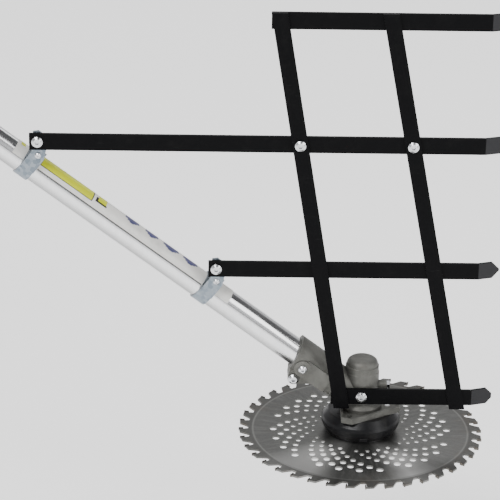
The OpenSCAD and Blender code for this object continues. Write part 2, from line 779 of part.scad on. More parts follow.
module nut_at(x, z, face_y) {
  translate([x, face_y, z + blade_z]) rotate([-90, 0, 0]) difference() {
    cylinder(r = 10 / sqrt(3), h = 5, $fn = hex_fn);
    translate([0, 0, -1]) cylinder(r = bolt_r + seat, h = 8, $fn = round_fn);
  }
}

module frame_bolts() {
  color("silver") {
    bolt_at(upper_bolt[0], rail_z3, rail_y, bar_t + ear_t + 8);
    bolt_at(lower_bolt[0], rail_z2, rail_y, bar_t + ear_t + 8);
    bolt_at(rear_x(rail_z3), rail_z3, upright_y, 2 * bar_t + 8);
    bolt_at(front_x(rail_z3), rail_z3, upright_y, 2 * bar_t + 8);
    bolt_at(case_bolt_x, rail_z1, rail_y, bar_t + 3);
  }
}

module frame_nuts() {
  color("silver") {
    nut_at(upper_bolt[0], rail_z3, ear_y + ear_t);
    nut_at(lower_bolt[0], rail_z2, ear_y + ear_t);
    nut_at(rear_x(rail_z3), rail_z3, rail_y + bar_t);
    nut_at(front_x(rail_z3), rail_z3, rail_y + bar_t);
  }
}

// ---- handle and harness eye ----
module rod(r, long) {
  cylinder(r = r, h = long, $fn = round_fn);
}

module rod_bend(r, turn, angle) {
  rotate_extrude(angle = angle) translate([turn, 0]) circle(r = r, $fn = round_fn);
}

// the closed loop, in the plane across the shaft; x is up from the tube
module loop_shape(r) {
  half = handle_w / 2;
  low = handle_base;
  high = handle_base + handle_rise;
  translate([low, -half + bend_r, 0]) rotate([-90, 0, 0]) rod(r, 2 * (half - bend_r));
  translate([high, -half + bend_r, 0]) rotate([-90, 0, 0]) rod(r, 2 * (half - bend_r));
  for (side = [-1, 1]) translate([low + bend_r, side * half, 0]) rotate([0, 90, 0])
    rod(r, high - low - 2 * bend_r);
  translate([low + bend_r, half - bend_r, 0]) rotate([0, 0, 90]) rod_bend(r, bend_r, 90);
  translate([low + bend_r, -half + bend_r, 0]) rotate([0, 0, 180]) rod_bend(r, bend_r, 90);
  translate([high - bend_r, half - bend_r, 0]) rod_bend(r, bend_r, 90);
  translate([high - bend_r, -half + bend_r, 0]) rotate([0, 0, -90]) rod_bend(r, bend_r, 90);
}

module loop_handle() {
  color([0.13, 0.13, 0.13]) on_shaft(handle_s) loop_shape(handle_r);
}

module handle_sleeve() {
  half = handle_w / 2 - bend_r;
  color([0.2, 0.2, 0.2]) on_shaft(handle_s) translate([handle_base + handle_rise, -half, 0])
    rotate([-90, 0, 0]) ring(handle_r + sleeve_t, handle_r + seat, 2 * half);
}

module block_screw_holes() {
  for (y = [-1, 1], z = [-1, 1]) translate([-60, y * screw_gap, z * 15]) rotate([0, 90, 0])
    cylinder(r = 2.5 + fit, h = 120, $fn = round_fn);
}

module handle_clamp_base() {
  color([0.16, 0.16, 0.16]) on_shaft(handle_s) difference() {
    box([-tube_r - 8, block_split - block_gap], [-block_w / 2, block_w / 2], [-block_l / 2, block_l / 2]);
    translate([0, 0, -block_l]) cylinder(r = tube_r + seat, h = 2 * block_l);
    translate([handle_base, block_w, 0]) rotate([90, 0, 0]) cylinder(r = handle_r + seat, h = 2 * block_w);
    block_screw_holes();
  }
}

module handle_clamp_cap() {
  color([0.16, 0.16, 0.16]) on_shaft(handle_s) difference() {
    box([block_split + block_gap, block_split + handle_r + 5],
      [-block_w / 2, block_w / 2], [-block_l / 2, block_l / 2]);
    translate([handle_base, block_w, 0]) rotate([90, 0, 0]) cylinder(r = handle_r + seat, h = 2 * block_w);
    block_screw_holes();
  }
}

module handle_screws() {
  top = block_split + handle_r + 5;
  color("silver") on_shaft(handle_s) for (y = [-1, 1], z = [-1, 1])
    translate([top, y * screw_gap, z * 15]) rotate([0, 90, 0]) socket_screw(2.5, 50, 4.2, 3);
}

module harness_eye() {
  color([0.3, 0.3, 0.3]) on_shaft(eye_s) difference() {
    union() {
      translate([0, 0, -8]) cylinder(r = tube_r + 3, h = 16);
      translate([0, 4, 0]) rotate([90, 0, 0]) linear_extrude(8)
        polygon([[0, -8], [eye_up, -8], [eye_up, 8], [0, 8]]);
      translate([eye_up, 4, 0]) rotate([90, 0, 0]) cylinder(r = 11, h = 8);
      box([-tube_r - 14, 0], [-7, 7], [-8, 8]);
    }
    translate([0, 0, -9]) cylinder(r = tube_r + seat, h = 18);
    translate([eye_up, 10, 0]) rotate([90, 0, 0]) cylinder(r = eye_hole_r, h = 20);
    box([-tube_r - 15, 0], [-1, 1], [-9, 9]);
    translate([-tube_r - 8, 20, 0]) rotate([90, 0, 0]) cylinder(r = 2.5 + fit, h = 40, $fn = round_fn);
  }
}

module eye_screw() {
  color("silver") on_shaft(eye_s) translate([-tube_r - 8, -7, 0]) rotate([90, 0, 0]) {
    socket_screw(2.5, 20, 4.2, 3);
    translate([0, 0, -18]) ring(4.5, 2.5 + seat, 4);
  }
}

// ---- power unit ----
// the outline of the housing's round front, in radius and distance along the shaft
function shell_profile(d) = [
  [0, nose_s + d], [tube_r + 7 - d, nose_s + d], [tube_r + 10 - d, nose_s + 22],
  [motor_r - d, motor_s], [motor_r - d, motor_end_s - 14 - d],
  [motor_r - 14 - d, motor_end_s - d], [0, motor_end_s - d]];

module shell_front(d) {
  on_shaft(0) rotate_extrude() polygon(shell_profile(d));
}

module grip_solid(d) {
  on_shaft(0) translate([grip_drop, 0, motor_end_s - 22]) linear_extrude(grip_end_s - motor_end_s + 40)
    rounded(grip_h - 2 * d, grip_w - 2 * d, 14 - d);
}

module bay_solid(d) {
  on_shaft(0) translate([bay_drop, 0, grip_end_s + d]) linear_extrude(bay_end_s - grip_end_s - 2 * d)
    rounded(bay_h - 2 * d, bay_w - 2 * d, 10);
}

// a rectangle with round corners, as straight bars and four discs
module rounded(a, b, r) {
  square([a - 2 * r, b], center = true);
  square([a, b - 2 * r], center = true);
  for (x = [-1, 1], y = [-1, 1]) translate([x * (a / 2 - r), y * (b / 2 - r)]) circle(r = r);
}

module housing_shape() {
  difference() {
    union() {
      shell_front(0);
      grip_solid(0);
      bay_solid(0);
      for (p = shell_screws) on_shaft(p[1]) translate([p[0], 0, 0]) rotate([90, 0, 0])
        cylinder(r = 4.5, h = 2 * p[2], center = true, $fn = 32);
    }
    difference() {
      union() {
        shell_front(shell_t);
        grip_solid(shell_t);
        bay_solid(shell_t);
      }
      on_shaft(nose_s) ring(tube_r + 10, tube_r, 14);
      on_shaft(nose_s + 36) ring(motor_r, tube_r, 14);
      for (s = plate_s) on_shaft(s - 3) ring(motor_r, stator_r - 3, plate_t + 6);
      for (p = shell_screws) on_shaft(p[1]) translate([p[0], 0, 0]) rotate([90, 0, 0])
        cylinder(r = 4.5, h = 200, center = true, $fn = 32);
    }
    for (s = plate_s) on_shaft(s) cylinder(r = stator_r + seat, h = plate_t);
    on_shaft(nose_s - 1) cylinder(r = tube_r + seat, h = tube_end_s - nose_s + 1);
    on_shaft(trigger_pin_s) box([-60, grip_drop], [-trigger_slot_w / 2 - 0.5, trigger_slot_w / 2 + 0.5],
      [-7, trigger_reach + 6]);
    on_shaft(button_s) box([grip_drop, 60], [-button_w / 2 - button_gap, button_w / 2 + button_gap],
      [-button_l / 2 - button_gap, button_l / 2 + button_gap]);
    on_shaft(power_s) translate([power_x - 8, 0, 0]) rotate([0, 90, 0])
      cylinder(r = power_r + button_gap, h = 20);
    on_shaft(bay_end_s - shell_t - 1) box(
      [bay_drop - tongue_h / 2 - tongue_gap, bay_drop + tongue_h / 2 + tongue_gap],
      [-tongue_w / 2 - tongue_gap, tongue_w / 2 + tongue_gap], [0, 10]);
    on_shaft(trigger_pin_s) translate([trigger_pin_x, 0, 0]) rotate([90, 0, 0])
      cylinder(r = pin_r + seat, h = grip_w - 6, center = true, $fn = round_fn);
    for (p = shell_screws) on_shaft(p[1]) translate([p[0], 0, 0]) rotate([90, 0, 0])
      cylinder(r = 1.8 + fit, h = 200, center = true, $fn = 32);
    for (k = [0 : 5], side = [-1, 1]) on_shaft(motor_s + 22 + k * 7)
      translate([0, side * (motor_r - 8), -1.5]) box([-18, 18], [-12, 12], [0, 3]);
  }
}

module housing_left() {
  color("darkorange") difference() {
    housing_shape();
    on_shaft(nose_s - 10) box([-100, 100], [-half_gap, 100], [0, 600]);
  }
}

module housing_right() {
  color([0.15, 0.15, 0.15]) difference() {
    housing_shape();
    on_shaft(nose_s - 10) box([-100, 100], [-100, half_gap], [0, 600]);
  }
}

module housing_screws() {
  color("silver") for (p = shell_screws) on_shaft(p[1]) translate([p[0], -p[2], 0]) rotate([90, 0, 0])
    socket_screw(1.8, 2 * p[2] - 3, 3.2, 2);
}

module motor_end_plates() {
  color("lightgray") for (s = plate_s) on_shaft(s) difference() {
    cylinder(r = stator_r, h = plate_t);
    translate([0, 0, -1]) cylinder(r = motor_race_r + seat, h = plate_t + 2);
    for (a = [30 : 60 : 330]) rotate([0, 0, a]) translate([26, 0, -1]) cylinder(r = 6, h = plate_t + 2);
  }
}

module motor_stator() {
  color("gray") on_shaft(stator_s[0]) difference() {
    cylinder(r = stator_r, h = stator_s[1] - stator_s[0]);
    translate([0, 0, -1]) cylinder(r = rotor_r + air_gap, h = 80);
    for (k = [0 : slot_count - 1]) rotate([0, 0, k * 360 / slot_count])
      box([rotor_r + 2.5, stator_r - 4], [-2.6, 2.6], [-1, 80]);
  }
}

module stator_windings() {
  color("peru") for (k = [0 : slot_count - 1]) rotate_on_axis(k * 360 / slot_count)
    on_shaft(stator_s[0] - 2.5)
      box([rotor_r + 3, stator_r - 4.5], [-2.3, 2.3], [0, stator_s[1] - stator_s[0] + 5]);
}

// turns a piece about the shaft's own axis
module rotate_on_axis(angle) {
  translate([0, 0, apex_z]) rotate([0, -axes_angle, 0]) rotate([0, 0, angle]) rotate([0, axes_angle, 0])
    translate([0, 0, -apex_z]) children();
}

module motor_rotor() {
  color("slategray") {
    on_shaft(stator_s[0]) cylinder(r = rotor_r, h = stator_s[1] - stator_s[0]);
    on_shaft(rotor_start_s) cylinder(r = motor_journal_r, h = rotor_end_s - rotor_start_s);
  }
}

module motor_bearings() {
  color("lightsteelblue") for (s = plate_s) on_shaft(s) race(motor_race_r, motor_journal_r + seat, plate_t);
}

module shaft_coupler() {
  color("dimgray") on_shaft(rotor_start_s - 16) difference() {
    cylinder(r = coupler_r, h = 24);
    translate([0, 0, -1]) cylinder(r = drive_r + seat, h = 14.5);
    translate([0, 0, 13]) cylinder(r = motor_journal_r + seat, h = 20);
  }
}

module controller() {
  color("seagreen") on_shaft(grip_end_s + 10) {
    box([bay_drop + 20, bay_drop + 22], [-inside_w, inside_w], [-6, 30]);
    for (y = [-14, 0, 14]) box([bay_drop + 22, bay_drop + 29], [y - 5, y + 5], [4, 20]);
    for (y = [-22, 20]) box([bay_drop + 15, bay_drop + 20], [y, y + 3], [0, 8]);
  }
}

module trigger() {
  thick = trigger_slot_w - 1;
  color("black") on_shaft(trigger_pin_s) translate([trigger_pin_x, 0, 0]) rotate([90, 0, 0]) difference() {
    union() {
      cylinder(r = 5, h = thick, center = true);
      translate([0, 0, -thick / 2]) linear_extrude(thick) polygon([[0, -5], [-11, 0], [-18, 8], [-17, 20],
        [-trigger_open - 9, trigger_reach], [-trigger_open - 4, trigger_reach + 1], [-6, 22], [2, 4]]);
    }
    cylinder(r = pin_r + fit, h = 2 * thick, center = true, $fn = round_fn);
  }
}

module trigger_pin() {
  color("silver") on_shaft(trigger_pin_s) translate([trigger_pin_x, 0, 0]) rotate([90, 0, 0])
    cylinder(r = pin_r, h = grip_w - 6.4, center = true, $fn = round_fn);
}

module trigger_switch() {
  color("navy") on_shaft(trigger_pin_s + 16)
    box([trigger_pin_x + 3.5, trigger_pin_x + 15], [-14, 14], [0, 20]);
}

module lock_off_button() {
  color("crimson") on_shaft(button_s) {
    box([button_x - 2, button_x + 4.5], [-button_w / 2, button_w / 2], [-button_l / 2, button_l / 2]);
    box([button_x - shell_t - 4.5, button_x - shell_t - 1.1], [-button_w / 2 - 1.6, button_w / 2 + 1.6],
      [-button_l / 2 - 1.6, button_l / 2 + 1.6]);
    box([button_x - shell_t - 1.5, button_x], [-button_w / 2, button_w / 2], [-button_l / 2, button_l / 2]);
  }
}

module power_button() {
  color("limegreen") on_shaft(power_s) translate([power_x - shell_t - 2.2, 0, 0]) rotate([0, 90, 0]) {
    cylinder(r = power_r + 1.6, h = 1.8);
    cylinder(r = power_r, h = shell_t + 3.2);
  }
}

module battery_pack() {
  color([0.12, 0.12, 0.12]) {
    on_shaft(bay_end_s + 0.4) difference() {
      translate([bay_drop, 0, 0]) linear_extrude(pack_l) rounded(bay_h, pack_w, 12);
      box([bay_drop + bay_h / 2 - 12, bay_drop + bay_h / 2 + 1], [-13, 13], [-1, 26]);
    }
    on_shaft(bay_end_s + 0.4 - tongue_l) difference() {
      box([bay_drop - tongue_h / 2, bay_drop + tongue_h / 2], [-tongue_w / 2, tongue_w / 2],
        [0, tongue_l + 1]);
      for (y = [-12, 12]) box([bay_drop - 5.5, bay_drop + 5.5], [y - 1.5, y + 1.5], [-1, 17]);
    }
  }
}

module battery_latch() {
  color("crimson") on_shaft(bay_end_s + 0.4) {
    box([bay_drop + bay_h / 2 - 9, bay_drop + bay_h / 2 - 3], [-12.6, 12.6], [0.4, 25.6]);
    box([bay_drop + bay_h / 2 - 4, bay_drop + bay_h / 2 + 1.5], [-10, 10], [10, 23]);
  }
}

module battery_terminals() {
  color("goldenrod") {
    on_shaft(bay_end_s - tongue_l - 8) box([bay_drop - 10, bay_drop + 10], [-inside_w, inside_w], [0, 5]);
    for (y = [-12, 12]) on_shaft(bay_end_s - tongue_l - 3.5)
      box([bay_drop - 5, bay_drop + 5], [y - 0.8, y + 0.8], [0, 15]);
  }
}

gear_case();
grease_plug();
case_clamp_screws();
pinion_gear();
pinion_bearings();
pinion_circlip();
crown_gear();
output_spindle();
spindle_bearings();
oil_seal();
anti_wrap_cup();
cup_screws();
blade_adapter();
blade_disc();
carbide_tips();
outer_flange();
blade_nut();
shaft_tube();
drive_shaft();
shaft_bushes();
top_rail();
second_rail();
third_rail();
bottom_rail();
rear_upright();
front_upright();
lower_clamp();
upper_clamp();
clamp_screws();
frame_bolts();
frame_nuts();
loop_handle();
handle_sleeve();
handle_clamp_base();
handle_clamp_cap();
handle_screws();
harness_eye();
eye_screw();
housing_left();
housing_right();
housing_screws();
motor_end_plates();
motor_stator();
stator_windings();
motor_rotor();
motor_bearings();
shaft_coupler();
controller();
trigger();
trigger_pin();
trigger_switch();
lock_off_button();
power_button();
battery_pack();
battery_latch();
battery_terminals();
shaft_labels();
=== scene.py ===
"""Brush cutter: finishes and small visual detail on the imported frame, in metres."""
import json
import math

import bmesh
import bpy
from mathutils import Matrix, Vector


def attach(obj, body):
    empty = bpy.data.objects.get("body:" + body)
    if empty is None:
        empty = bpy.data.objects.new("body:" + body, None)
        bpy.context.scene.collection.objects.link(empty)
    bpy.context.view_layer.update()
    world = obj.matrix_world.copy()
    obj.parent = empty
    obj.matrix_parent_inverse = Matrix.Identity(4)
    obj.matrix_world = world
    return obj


# ---- measures ----
APEX = Vector((0, 0, 0.061))
SHAFT_ANGLE = math.radians(37)
ALONG = Vector((-math.cos(SHAFT_ANGLE), 0, math.sin(SHAFT_ANGLE)))
UP_SIDE = Vector((math.sin(SHAFT_ANGLE), 0, math.cos(SHAFT_ANGLE)))
SIDE = Vector((0, 1, 0))
# turns coordinates so that Z runs along the shaft
ALONG_SHAFT = (0, math.pi / 2 - SHAFT_ANGLE, 0)
BLADE_R = 0.1275
# painted reflection: how bright the blade's colour is painted at each share of a turn, standing in for the
# shine of its brushing
PAINTED_REFLECTION_WEDGES = ((0.08, 0.0), (0.165, 0.95), (0.205, 0.10), (0.26, 0.0), (0.285, 0.10), (0.32, 0.95), (0.37, 0.10),
          (0.50, 0.04), (0.62, 0.0), (0.75, 0.10), (0.85, 0.0))
ORANGE = (0.60, 0.105, 0.006)
# distances up the shaft in metres: the power unit's shells and their charcoal parts
SHELL_START = 1.05
SHELL_END = 1.47
CHARCOAL_ZONES = ((SHELL_START, 1.130), (1.264, 1.368), (1.428, SHELL_END))
FLOOR_Z = -0.16
FLOOR_SIZE = 90
FLOOR_GLOW = 1.0
# the room's brightness by the sine of the elevation
ROOM = ((0.0, 0.72), (0.076, 0.70), (0.080, 0.0), (0.128, 0.0), (0.138, 0.80), (0.42, 0.62),
        (0.50, 0.11), (0.78, 0.10), (0.90, 1.0))

CAMERA_AT = Vector((-0.155, -2.188, 1.1466))
CAMERA_AZIMUTH = math.radians(-0.95)
CAMERA_ELEVATION = math.radians(22.8)
CAMERA_ROLL = math.radians(1.0)
LENS = 168.2


def on_shaft(s, x=0.0, y=0.0):
    """The point at distance s up the shaft, x off its axis on the upper side and y across."""
    return APEX + ALONG * s + UP_SIDE * x + SIDE * y


# ---- node tree helpers ----
class Tree:
    """A material's node tree, with short calls for the nodes that the finishes use."""

    def __init__(self, name, color, metallic=0.0, roughness=0.5, **sockets):
        self.material = bpy.data.materials.new(name)
        self.material.use_nodes = True
        self.material.diffuse_color = (*color, 1)
        self.nodes = self.material.node_tree.nodes
        self.links = self.material.node_tree.links
        self.shader = self.nodes["Principled BSDF"]
        self.shader.inputs["Base Color"].default_value = (*color, 1)
        self.shader.inputs["Metallic"].default_value = metallic
        self.shader.inputs["Roughness"].default_value = roughness
        for key, value in sockets.items():
            self.shader.inputs[key.replace("_", " ")].default_value = value
        self.place = self.nodes.new("ShaderNodeTexCoord").outputs["Object"]

    def set(self, key, output):
        self.links.new(output, self.shader.inputs[key])

    def node(self, kind, inputs=None, **settings):
        made = self.nodes.new("ShaderNode" + kind)
        for key, value in settings.items():
            setattr(made, key, value)
        for key, value in (inputs or {}).items():
            if isinstance(value, bpy.types.NodeSocket):
                self.links.new(value, made.inputs[key])
            else:
                made.inputs[key].default_value = value
        return made

    def mapped(self, scale=(1, 1, 1), turn=(0, 0, 0), shift=(0, 0, 0)):
        """Object coordinates, moved, turned and scaled."""
        made = self.node("Mapping", {"Vector": self.place, "Scale": scale, "Rotation": turn,
                                     "Location": shift})
        return made.outputs["Vector"]

    def noise(self, scale, detail=4.0, rough=0.6, at=None):
        made = self.node("TexNoise", {"Vector": at or self.place, "Scale": scale, "Detail": detail,
                                      "Roughness": rough})
        return made.outputs["Fac"]

    def ramp(self, value, *stops):
        """A colour ramp: each stop is a position and a grey or a colour."""
        made = self.node("ValToRGB", {"Fac": value})
        elements = made.color_ramp.elements
        while len(elements) < len(stops):
            elements.new(0.5)
        for element, (position, shade) in zip(elements, stops):
            element.position = position
            element.color = (*shade, 1) if isinstance(shade, tuple) else (shade, shade, shade, 1)
        return made.outputs["Color"]

    def mix(self, factor, first, second, blend="MIX"):
        made = self.node("Mix", data_type="RGBA", blend_type=blend)
        for index, value in ((0, factor), (6, first), (7, second)):
            socket = made.inputs[index]
            if isinstance(value, bpy.types.NodeSocket):
                self.links.new(value, socket)
            elif isinstance(value, tuple):
                socket.default_value = (*value, 1)
            else:
                socket.default_value = value
        return made.outputs[2]

    def math(self, operation, first, second=0.0, third=0.0):
        made = self.node("Math", operation=operation)
        for socket, value in zip(made.inputs, (first, second, third)):
            if isinstance(value, bpy.types.NodeSocket):
                self.links.new(value, socket)
            else:
                socket.default_value = value
        return made.outputs[0]

    def bump(self, height, strength, distance):
        made = self.node("Bump", {"Height": height, "Strength": strength, "Distance": distance})
        self.set("Normal", made.outputs["Normal"])

    def facing(self, axis):
        """One part of the surface's own direction."""
        normal = self.node("NewGeometry").outputs["True Normal"]
        return self.node("SeparateXYZ", {"Vector": normal}).outputs[axis]


# ---- finishes ----
def shaded(color, times, plus=0.0):
    return tuple(min(1.0, c * times + plus) for c in color)


def cast_alloy():
    t = Tree("cast_alloy", (0.14, 0.134, 0.113), metallic=0.6, roughness=0.48)
    grain = t.noise(950, 6, 0.7)
    broad = t.noise(42, 4)
    tone = t.ramp(broad, (0.30, (0.092, 0.092, 0.083)), (0.72, (0.200, 0.199, 0.182)))
    tone = t.mix(t.ramp(grain, (0.35, 0.0), (0.75, 0.30)), tone, (0.27, 0.268, 0.245))
    stain = t.ramp(t.noise(30, 5, 0.7, t.mapped(shift=(0.3, 0.1, 0.2))), (0.58, 0.0), (0.78, 0.35))
    tone = t.mix(stain, tone, (0.125, 0.098, 0.080))
    t.set("Base Color", tone)
    t.set("Roughness", t.ramp(grain, (0.2, 0.42), (0.8, 0.68)))
    t.bump(grain, 0.35, 0.0004)
    return t.material


def bright_zinc(name="zinc_fastener", tint=(0.76, 0.77, 0.79), rough=0.22):
    t = Tree(name, tint, metallic=1.0, roughness=rough)
    cloud = t.noise(420, 3)
    t.set("Base Color", t.ramp(cloud, (0.3, shaded(tint, 0.82)), (0.7, tint)))
    t.set("Roughness", t.ramp(cloud, (0.2, rough * 0.75), (0.8, rough * 1.5)))
    t.bump(t.noise(1600, 2), 0.08, 0.0002)
    return t.material


def gear_steel(name="gear_steel", tint=(0.34, 0.34, 0.35), rough=0.30):
    t = Tree(name, tint, metallic=1.0, roughness=rough)
    turning = t.noise(60, 4, 0.5, t.mapped(scale=(1, 1, 26)))
    dark, light = shaded(tint, 0.75), shaded(tint, 1.2)
    t.set("Base Color", t.ramp(turning, (0.3, dark), (0.7, light)))
    t.set("Roughness", t.ramp(turning, (0.3, rough * 0.8), (0.7, rough * 1.3)))
    t.bump(turning, 0.08, 0.0003)
    return t.material


def brass(name, tint):
    t = Tree(name, tint, metallic=1.0, roughness=0.28)
    cloud = t.noise(240, 3)
    t.set("Base Color", t.ramp(cloud, (0.3, shaded(tint, 0.7)), (0.7, tint)))
    t.set("Roughness", t.ramp(cloud, (0.2, 0.22), (0.8, 0.40)))
    return t.material


def black_gloss():
    t = Tree("cup_black", (0.006, 0.006, 0.007), roughness=0.30, Specular_IOR_Level=0.30)
    dust = t.noise(90, 6, 0.7)
    dusty = t.ramp(dust, (0.52, 0.0), (0.80, 0.30))
    t.set("Base Color", t.mix(dusty, (0.006, 0.006, 0.007), (0.050, 0.046, 0.038)))
    t.set("Roughness", t.ramp(dust, (0.3, 0.26), (0.75, 0.45)))
    t.bump(t.noise(500, 2), 0.06, 0.0004)
    return t.material


def blade_steel():
    """Rolled steel, brushed out from the centre, with painted reflection wedges and a rust tint in patches
    near the rim.
    """
    t = Tree("blade_steel", (0.17, 0.165, 0.155), metallic=0.85, roughness=0.36)
    split = t.node("SeparateXYZ", {"Vector": t.place})
    x, y = split.outputs["X"], split.outputs["Y"]
    angle = t.math("ARCTAN2", y, x)
    radius = t.math("SQRT", t.math("ADD", t.math("MULTIPLY", x, x), t.math("MULTIPLY", y, y)))
    polar = t.node("CombineXYZ", {"X": t.math("COSINE", angle), "Y": t.math("SINE", angle),
                                  "Z": t.math("MULTIPLY", radius, 2.0)}).outputs["Vector"]
    rays = t.noise(26, 5, 0.65, polar)
    fine = t.noise(190, 3, 0.6, polar)
    tone = t.ramp(rays, (0.34, (0.082, 0.083, 0.079)), (0.50, (0.108, 0.109, 0.103)),
                  (0.68, (0.165, 0.165, 0.157)))
    tone = t.mix(t.ramp(fine, (0.35, 0.0), (0.75, 0.22)), tone, (0.30, 0.297, 0.285))
    # painted reflection: bright wedges by the angle around the blade, mixed into its colour
    turn = t.math("ADD", t.math("DIVIDE", angle, 2 * math.pi), 0.5)
    painted_reflection = t.ramp(turn, *PAINTED_REFLECTION_WEDGES)
    tone = t.mix(painted_reflection, tone, (0.62, 0.615, 0.60))
    across = t.math("DIVIDE", radius, BLADE_R)
    tone = t.mix(t.ramp(across, (0.872, 0.0), (0.885, 0.8), (0.893, 0.0)), tone, (0.27, 0.27, 0.255))
    tone = t.mix(t.ramp(across, (0.889, 0.0), (0.900, 0.75)), tone, (0.095, 0.094, 0.088))
    rim = t.ramp(across, (0.70, 0.0), (0.98, 1.0))
    patches = t.ramp(t.noise(30, 5, 0.7), (0.54, 0.0), (0.70, 0.45))
    tone = t.mix(t.math("MULTIPLY", rim, patches), tone, (0.135, 0.098, 0.070))
    spots = t.ramp(t.noise(260, 4, 0.75), (0.64, 0.0), (0.76, 0.55))
    tone = t.mix(spots, tone, (0.09, 0.060, 0.040))
    t.set("Base Color", tone)
    t.set("Roughness", t.ramp(rays, (0.3, 0.30), (0.7, 0.46)))
    t.bump(fine, 0.12, 0.0003)
    return t.material


def dark_tips():
    t = Tree("carbide", (0.085, 0.078, 0.070), metallic=0.7, roughness=0.48)
    cloud = t.noise(500, 4)
    t.set("Base Color", t.ramp(cloud, (0.35, (0.055, 0.050, 0.045)), (0.7, (0.155, 0.140, 0.120))))
    t.bump(cloud, 0.15, 0.0003)
    return t.material


def polished_tube():
    """Drawn aluminium: faint lengthwise lines, a few scratches and thin dirt, with a painted dark
    reflection on the underside.
    """
    t = Tree("tube_aluminium", (0.86, 0.865, 0.87), metallic=1.0, roughness=0.15)
    lengthwise = t.mapped(turn=ALONG_SHAFT, scale=(1, 1, 0.02))
    lines = t.noise(700, 3, 0.6, lengthwise)
    dirt = t.noise(46, 6, 0.72)
    tone = t.ramp(lines, (0.3, (0.78, 0.785, 0.79)), (0.7, (0.90, 0.905, 0.91)))
    tone = t.mix(t.ramp(dirt, (0.56, 0.0), (0.82, 0.25)), tone, (0.42, 0.40, 0.37))
    # painted dark reflection: the tube's colour is painted darker where its surface faces down
    painted_dark_underside = t.ramp(t.math("MULTIPLY", t.facing("Z"), -1.0), (0.15, 0.0), (0.45, 0.45), (0.78, 1.0))
    tone = t.mix(painted_dark_underside, tone, (0.17, 0.168, 0.166))
    t.set("Base Color", tone)
    t.set("Roughness", t.ramp(dirt, (0.35, 0.14), (0.75, 0.24)))
    t.bump(lines, 0.02, 0.0001)
    return t.material


def frame_black(name="frame_black"):
    """Satin black paint with faint brushed scratches, a thin film of pale dust and a painted highlight on
    faces turned partway along x, such as the bent tips.
    """
    t = Tree(name, (0.0035, 0.0035, 0.004), roughness=0.40, Specular_IOR_Level=0.06)
    dust = t.noise(75, 6, 0.7)
    scratch = t.noise(230, 4, 0.6, t.mapped(scale=(0.22, 1, 3.4)))
    dusty = t.ramp(dust, (0.50, 0.0), (0.85, 0.22))
    base = t.mix(dusty, (0.0030, 0.0030, 0.0035), (0.022, 0.022, 0.021))
    base = t.mix(t.ramp(scratch, (0.67, 0.0), (0.76, 0.30)), base, (0.060, 0.060, 0.060))
    # painted highlight: faces turned partway along x, such as the bent bar tips, get a lighter colour
    painted_bend_highlight = t.ramp(t.math("ABSOLUTE", t.facing("X")), (0.12, 0.0), (0.24, 1.0), (0.80, 1.0), (0.92, 0.0))
    base = t.mix(painted_bend_highlight, base, (0.034, 0.034, 0.036))
    t.set("Base Color", base)
    t.set("Roughness", t.ramp(dust, (0.3, 0.30), (0.75, 0.50)))
    t.bump(t.noise(900, 3), 0.10, 0.0002)
    return t.material


def worn_edge_and_sheen():
    """The same paint where an edge has rubbed it: broken patches of bare grey steel, which also serve as a
    painted sheen on the bright edges.
    """
    t = Tree("worn_edge_and_sheen", (0.05, 0.05, 0.05), metallic=0.3, roughness=0.40)
    # partly real wear, partly painted highlight: lighter grey patches on the bevelled edges
    rubbed_and_sheen = t.ramp(t.noise(140, 5, 0.7), (0.50, 0.0), (0.66, 1.0))
    t.set("Base Color", t.mix(rubbed_and_sheen, (0.008, 0.008, 0.009), (0.16, 0.16, 0.155)))
    t.set("Metallic", rubbed_and_sheen)
    return t.material


def galvanised():
    """Galvanised strip: bluish grey crystals."""
    t = Tree("strap_zinc", (0.36, 0.40, 0.44), metallic=0.9, roughness=0.30)
    crystals = t.node("TexVoronoi", {"Vector": t.place, "Scale": 260.0}).outputs["Color"]
    grey = t.node("RGBToBW", {"Color": crystals}).outputs["Val"]
    t.set("Base Color", t.ramp(grey, (0.1, (0.15, 0.185, 0.22)), (0.9, (0.32, 0.36, 0.40))))
    t.set("Roughness", t.ramp(grey, (0.1, 0.26), (0.9, 0.46)))
    t.bump(t.noise(500, 3), 0.08, 0.0003)
    return t.material


def plastic(name, color, rough=0.45, grain=1500, strength=0.22, coat=0.0):
    """Moulded plastic with a fine spark-eroded grain and a little handling gloss."""
    t = Tree(name, color, metallic=0.0, roughness=rough, Coat_Weight=coat)
    broad = t.noise(24, 4, 0.6)
    t.set("Base Color", t.mix(t.ramp(broad, (0.35, 0.0), (0.75, 0.30)), color,
                              shaded(color, 1.25, 0.012)))
    t.set("Roughness", t.ramp(broad, (0.3, rough * 0.85), (0.75, rough * 1.25)))
    t.bump(t.noise(grain, 3, 0.7), strength, 0.0002)
    return t.material


def two_shot(name):
    """Orange shell plastic with a charcoal overmould on the nose, the grip and the battery bay's end."""
    t = Tree(name, ORANGE, metallic=0.0, roughness=0.36, Coat_Weight=0.1)
    foot = t.mapped(shift=tuple(-APEX))
    reach = t.node("VectorMath", {0: foot, 1: ALONG}, operation="DOT_PRODUCT").outputs["Value"]
    length = SHELL_END - SHELL_START
    zone = t.math("DIVIDE", t.math("SUBTRACT", reach, SHELL_START), length)
    stops = []
    for start, end in CHARCOAL_ZONES:
        low, high = (start - SHELL_START) / length, (end - SHELL_START) / length
        stops += [(max(0.0, low - 0.001), 0.0), (low, 1.0), (high, 1.0), (min(1.0, high + 0.001), 0.0)]
    charcoal = t.ramp(zone, *stops)
    broad = t.noise(24, 4, 0.6)
    shade = t.mix(t.ramp(broad, (0.35, 0.0), (0.75, 0.30)), ORANGE, shaded(ORANGE, 1.2, 0.01))
    t.set("Base Color", t.mix(charcoal, shade, (0.026, 0.026, 0.028)))
    t.set("Roughness", t.ramp(charcoal, (0.0, 0.36), (1.0, 0.58)))
    t.bump(t.noise(1500, 3, 0.7), 0.2, 0.0002)
    return t.material


